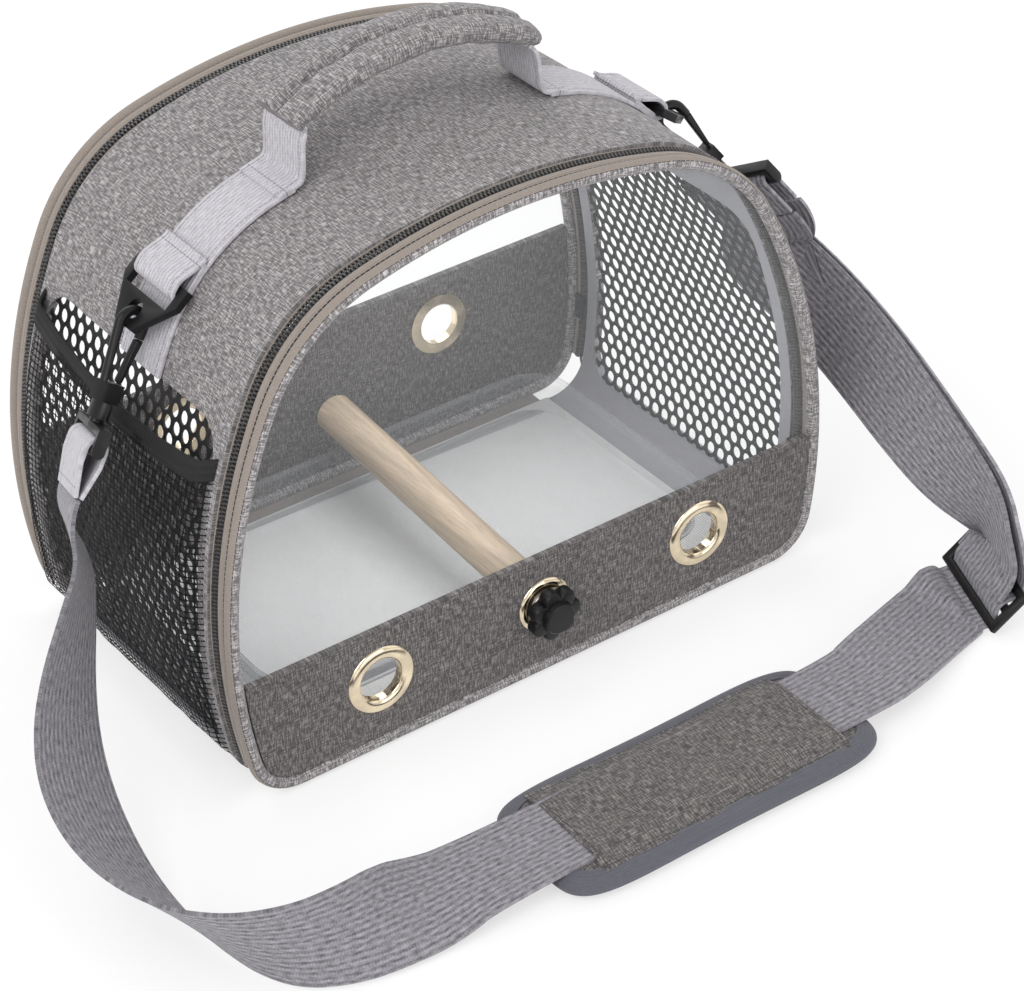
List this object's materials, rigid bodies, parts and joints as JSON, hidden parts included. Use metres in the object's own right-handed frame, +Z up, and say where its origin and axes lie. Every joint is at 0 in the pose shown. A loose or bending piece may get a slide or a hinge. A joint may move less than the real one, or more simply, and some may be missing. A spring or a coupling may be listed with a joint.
{
  "type": "bird carrier bag",
  "caption": "Arched fabric pet carrier with clear zip doors, net sides, a bolted perch, a top handle and a clip-on shoulder strap with a sliding pad.",
  "frame": {"origin": "middle of the bag's floor, on the ground under it", "axes": "+X to the right seen from the front, +Y from the front door with the perch knob to the rear door, +Z up"},
  "size_m": [0.4371, 0.3167, 0.274],
  "materials": {
    "shell_fabric": "grey melange weave",
    "band_fabric": "darker melange weave",
    "tape": "taupe woven tape",
    "teeth": "black moulded teeth",
    "net": "black net",
    "pocket": "fine black mesh",
    "clear": "clear soft sheet",
    "board": "lined board",
    "tray": "clear moulded tray",
    "eyelet": "pale gold, polished",
    "wood": "pale dowel",
    "steel": "plain",
    "black": "black moulding",
    "hook_metal": "black, satin",
    "webbing": "light grey webbing",
    "strap": "grey ribbed webbing",
    "pad_cover": "grey-brown melange with a bound edge"
  },
  "bodies": {
    "carrier": {"dome_shell": "shell_fabric", "base_board": "board", "left_mesh_panel": "net", "right_mesh_panel": "net", "left_mesh_pocket": "pocket", "left_pocket_elastic": "pocket", "front_shell_tape": "tape", "front_shell_teeth": "teeth", "rear_shell_tape": "tape", "rear_shell_teeth": "teeth", "front_hinge_strip": "tape", "rear_hinge_strip": "tape", "left_webbing": "webbing", "right_webbing": "webbing", "tray": "tray", "strap_main": "strap", "strap_upper": "strap", "strap_return": "strap"},
    "front_door": {"front_piping": "shell_fabric", "front_window": "clear", "front_band": "band_fabric", "front_eyelets": "eyelet", "perch_eyelet": "eyelet", "front_door_tape": "tape", "front_door_teeth": "teeth", "perch": "wood", "perch_stud": "steel", "perch_washer": "steel"},
    "rear_door": {"rear_piping": "shell_fabric", "rear_window": "clear", "rear_band": "band_fabric", "rear_eyelets": "eyelet", "rear_door_tape": "tape", "rear_door_teeth": "teeth"},
    "knob_washer": {"knob_washer": "steel"},
    "star_knob": {"star_knob": "black"},
    "handle": {"left_riser": "webbing", "right_riser": "webbing", "handle_grip": "shell_fabric"},
    "front_zip_slider": {"front_zip_slider": "hook_metal"},
    "front_zip_pull": {"front_zip_pull": "hook_metal"},
    "rear_zip_slider": {"rear_zip_slider": "hook_metal"},
    "rear_zip_pull": {"rear_zip_pull": "hook_metal"},
    "left_ring": {"left_ring": "black"},
    "left_hook": {"left_hook": "hook_metal"},
    "left_gate": {"left_gate": "hook_metal"},
    "left_swivel": {"left_eye": "hook_metal", "left_strap_loop": "webbing"},
    "right_ring": {"right_ring": "black"},
    "right_hook": {"right_hook": "hook_metal"},
    "right_gate": {"right_gate": "hook_metal"},
    "right_swivel": {"right_eye": "hook_metal", "right_strap_loop": "webbing"},
    "shoulder_pad": {"shoulder_pad": "pad_cover", "pad_sleeve": "pad_cover"},
    "strap_slider": {"strap_slider": "black"}
  },
  "joints": [
    {"name": "front_door_swing", "type": "hinge", "parent": "carrier", "child": "front_door", "pos_m": [0, -0.089, 0.003], "axis": [1, 0, 0], "range_deg": [0, 55]},
    {"name": "rear_door_swing", "type": "hinge", "parent": "carrier", "child": "rear_door", "pos_m": [0, 0.089, 0.003], "axis": [-1, 0, 0], "range_deg": [0, 85]},
    {"name": "knob_washer_travel", "type": "slide", "parent": "front_door", "child": "knob_washer", "axis": [0, -0.9969, -0.0785], "range_m": [0, 0.002]},
    {"name": "knob_turn", "type": "hinge", "parent": "knob_washer", "child": "star_knob", "pos_m": [0, -0.09, 0.035], "axis": [0, -0.9969, -0.0785], "range_deg": [0, 720]},
    {"name": "handle_tilt", "type": "hinge", "parent": "carrier", "child": "handle", "pos_m": [0, -0.008, 0.24355], "axis": [1, 0, 0], "range_deg": [-50, 50]},
    {"name": "front_zip_travel", "type": "hinge", "parent": "carrier", "child": "front_zip_slider", "pos_m": [-0.103, -0.0791, 0.067], "axis": [0, -1, 0], "range_deg": [-4, 29]},
    {"name": "front_pull_swing", "type": "hinge", "parent": "front_zip_slider", "child": "front_zip_pull", "pos_m": [0.15174, -0.0791, 0.04374], "axis": [0, 1, 0], "range_deg": [-150, 0]},
    {"name": "rear_zip_travel", "type": "hinge", "parent": "carrier", "child": "rear_zip_slider", "pos_m": [-0.103, 0.0791, 0.067], "axis": [0, -1, 0], "range_deg": [-4, 29]},
    {"name": "rear_pull_swing", "type": "hinge", "parent": "rear_zip_slider", "child": "rear_zip_pull", "pos_m": [0.15174, 0.0791, 0.04374], "axis": [0, 1, 0], "range_deg": [-150, 0]},
    {"name": "left_ring_swing", "type": "hinge", "parent": "carrier", "child": "left_ring", "pos_m": [-0.11684, -0.008, 0.20011], "axis": [0, 1, 0], "range_deg": [0, 38], "deforming": ["strap_main"]},
    {"name": "left_hook_swing", "type": "hinge", "parent": "left_ring", "child": "left_hook", "pos_m": [-0.13299, -0.00896, 0.18552], "axis": [-0.1307, 0.9861, -0.1021], "range_deg": [0, 28], "deforming": ["strap_main"]},
    {"name": "left_gate_open", "type": "hinge", "parent": "left_hook", "child": "left_gate", "pos_m": [-0.1412, -0.01223, 0.1645], "axis": [0.1307, -0.9861, 0.1021], "range_deg": [0, 17], "stiffness_Nm_per_rad": 0.02, "springref_deg": -17.19},
    {"name": "left_eye_turn", "type": "hinge", "parent": "left_hook", "child": "left_swivel", "pos_m": [-0.13299, -0.00896, 0.18552], "axis": [0.5907, 0.1602, 0.7909], "range_deg": [-12, 54], "deforming": ["strap_main"]},
    {"name": "right_ring_swing", "type": "hinge", "parent": "carrier", "child": "right_ring", "pos_m": [0.11684, -0.008, 0.20011], "axis": [0, -1, 0], "range_deg": [0, 38], "deforming": ["strap_upper", "strap_return"]},
    {"name": "right_hook_swing", "type": "hinge", "parent": "right_ring", "child": "right_hook", "pos_m": [0.13292, -0.00896, 0.18547], "axis": [-0.1309, -0.9861, 0.1023], "range_deg": [0, 22], "deforming": ["strap_upper", "strap_return"]},
    {"name": "right_gate_open", "type": "hinge", "parent": "right_hook", "child": "right_gate", "pos_m": [0.15049, -0.01275, 0.17144], "axis": [-0.1309, -0.9861, 0.1023], "range_deg": [0, 17], "stiffness_Nm_per_rad": 0.02, "springref_deg": -17.19},
    {"name": "right_eye_turn", "type": "hinge", "parent": "right_hook", "child": "right_swivel", "pos_m": [0.13292, -0.00896, 0.18547], "axis": [-0.5794, 0.1598, 0.7992], "range_deg": [-12, 12], "deforming": ["strap_upper", "strap_return"]},
    {"name": "pad_slide", "type": "slide", "parent": "carrier", "child": "shoulder_pad", "axis": [1, 0, 0], "range_m": [-0.02, 0.02]},
    {"name": "strap_adjust", "type": "slide", "parent": "carrier", "child": "strap_slider", "axis": [0.6213, -0.2806, 0.7316], "range_m": [0, 0.008], "deforming": ["strap_main", "strap_upper", "strap_return"]}
  ],
  "couplings": [
    {"joint": "knob_washer_travel", "follows": "knob_turn", "m_per_rad": 0.00015915}
  ]
}
